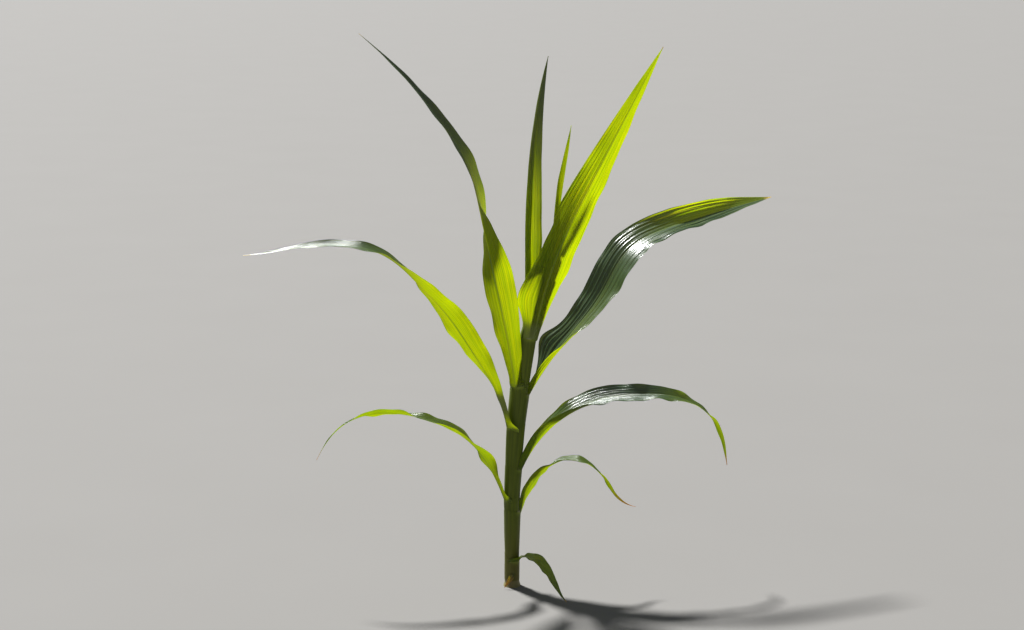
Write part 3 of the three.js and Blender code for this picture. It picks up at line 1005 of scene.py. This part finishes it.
def make_light():
    """A soft key from behind and above, and a faint surround that pales towards the horizon."""
    data = bpy.data.lights.new("key", "SUN")
    data.energy = SUN_STRENGTH
    data.angle = math.radians(SUN_SOFTNESS)
    key = linked("key", data)
    key.rotation_euler = Vector(SUN_FROM).to_track_quat("Z", "Y").to_euler()
    world = bpy.data.worlds.new("surround")
    world.use_nodes = True
    tree = world.node_tree
    tree.nodes.clear()
    ray = node(tree, "ShaderNodeTexCoord").outputs["Generated"]
    rise = node(tree, "ShaderNodeSeparateXYZ", {0: ray}).outputs[2]
    above = tuple(SKY_STRENGTH * part for part in SKY_COLOUR)
    low = between(tree, rise, 0, HORIZON_FADES_BY, 1, 0)
    sky = node(tree, "ShaderNodeBackground", {"Color": blend(tree, low, above, HORIZON_COLOUR)})
    node(tree, "ShaderNodeOutputWorld", {"Surface": sky.outputs[0]})
    bpy.context.scene.world = world
    bpy.context.scene.view_settings.view_transform = "Standard"


def make_floor():
    """A plain pale floor: one level square."""
    half = FLOOR_SIZE / 2
    mesh = bpy.data.meshes.new("floor")
    mesh.from_pydata([(-half, -half, 0), (half, -half, 0), (half, half, 0), (-half, half, 0)],
                     [], [(0, 1, 2, 3)])
    mesh.materials.append(mottled_finish("floor_paint", *FLOOR_SHADES, FLOOR_MOTTLE, FLOOR_ROUGH, 0))
    linked("floor", mesh)


make_camera()
make_light()
make_floor()

outer_leaf = leaf_finish(
    "outer_leaf", seed=1.3,
    upper=((0.006, 0.02, 0.012), (0.013, 0.036, 0.014)),
    lower=((0.07, 0.12, 0.012), (0.1, 0.16, 0.02)),
    glow=((0.79, 0.87, 0.0), (0.93, 0.93, 0.0), (0.53, 0.7, 0.0), (0.3, 0.48, 0.0)),
    rib=(0.17, 0.22, 0.06), dry=(0.62, 0.3, 0.05), passing=(0.34, 0.8), gloss=0.2)
upper_leaf = leaf_finish(
    "upper_leaf", seed=5.1,
    upper=((0.006, 0.02, 0.012), (0.014, 0.038, 0.014)),
    lower=((0.1, 0.14, 0.01), (0.15, 0.19, 0.015)),
    glow=((0.83, 0.9, 0.0), (0.96, 0.95, 0.0), (0.64, 0.79, 0.0), (0.36, 0.52, 0.0)),
    rib=(0.17, 0.23, 0.05), dry=(0.6, 0.42, 0.08), passing=(0.42, 0.85), gloss=0.2)
sheath_skin = sheath_finish(
    "sheath", seed=2.2, shade=(0.062, 0.088, 0.003), light=(0.11, 0.142, 0.006),
    rim=(0.36, 0.45, 0.05), foot=(0.13, 0.085, 0.03), passing=0.08)
whorl_skin = sheath_finish(
    "whorl", seed=4.4, shade=(0.07, 0.105, 0.006), light=(0.12, 0.16, 0.01),
    rim=(0.36, 0.5, 0.03), foot=(0.08, 0.11, 0.01), passing=0.06)
membrane = mottled_finish(
    "ligule", dark=(0.17, 0.19, 0.05), light=(0.32, 0.33, 0.14), scale=(700, 700, 60),
    rough=0.55, relief=0.0002)
foot_skin = mottled_finish(
    "culm_foot", dark=(0.07, 0.05, 0.02), light=(0.22, 0.2, 0.06), scale=(160, 160, 60),
    rough=0.6, relief=0.0005)

make_culm(foot_skin)
make_whorl(whorl_skin)
for leaf in LEAVES:
    if "foot" in leaf:
        make_sheath(leaf, sheath_skin)
        make_ligule(leaf, membrane)
    make_blade(leaf, upper_leaf if leaf["number"] >= FIRST_UPPER_LEAF else outer_leaf)
make_blade(WITHERED, outer_leaf)
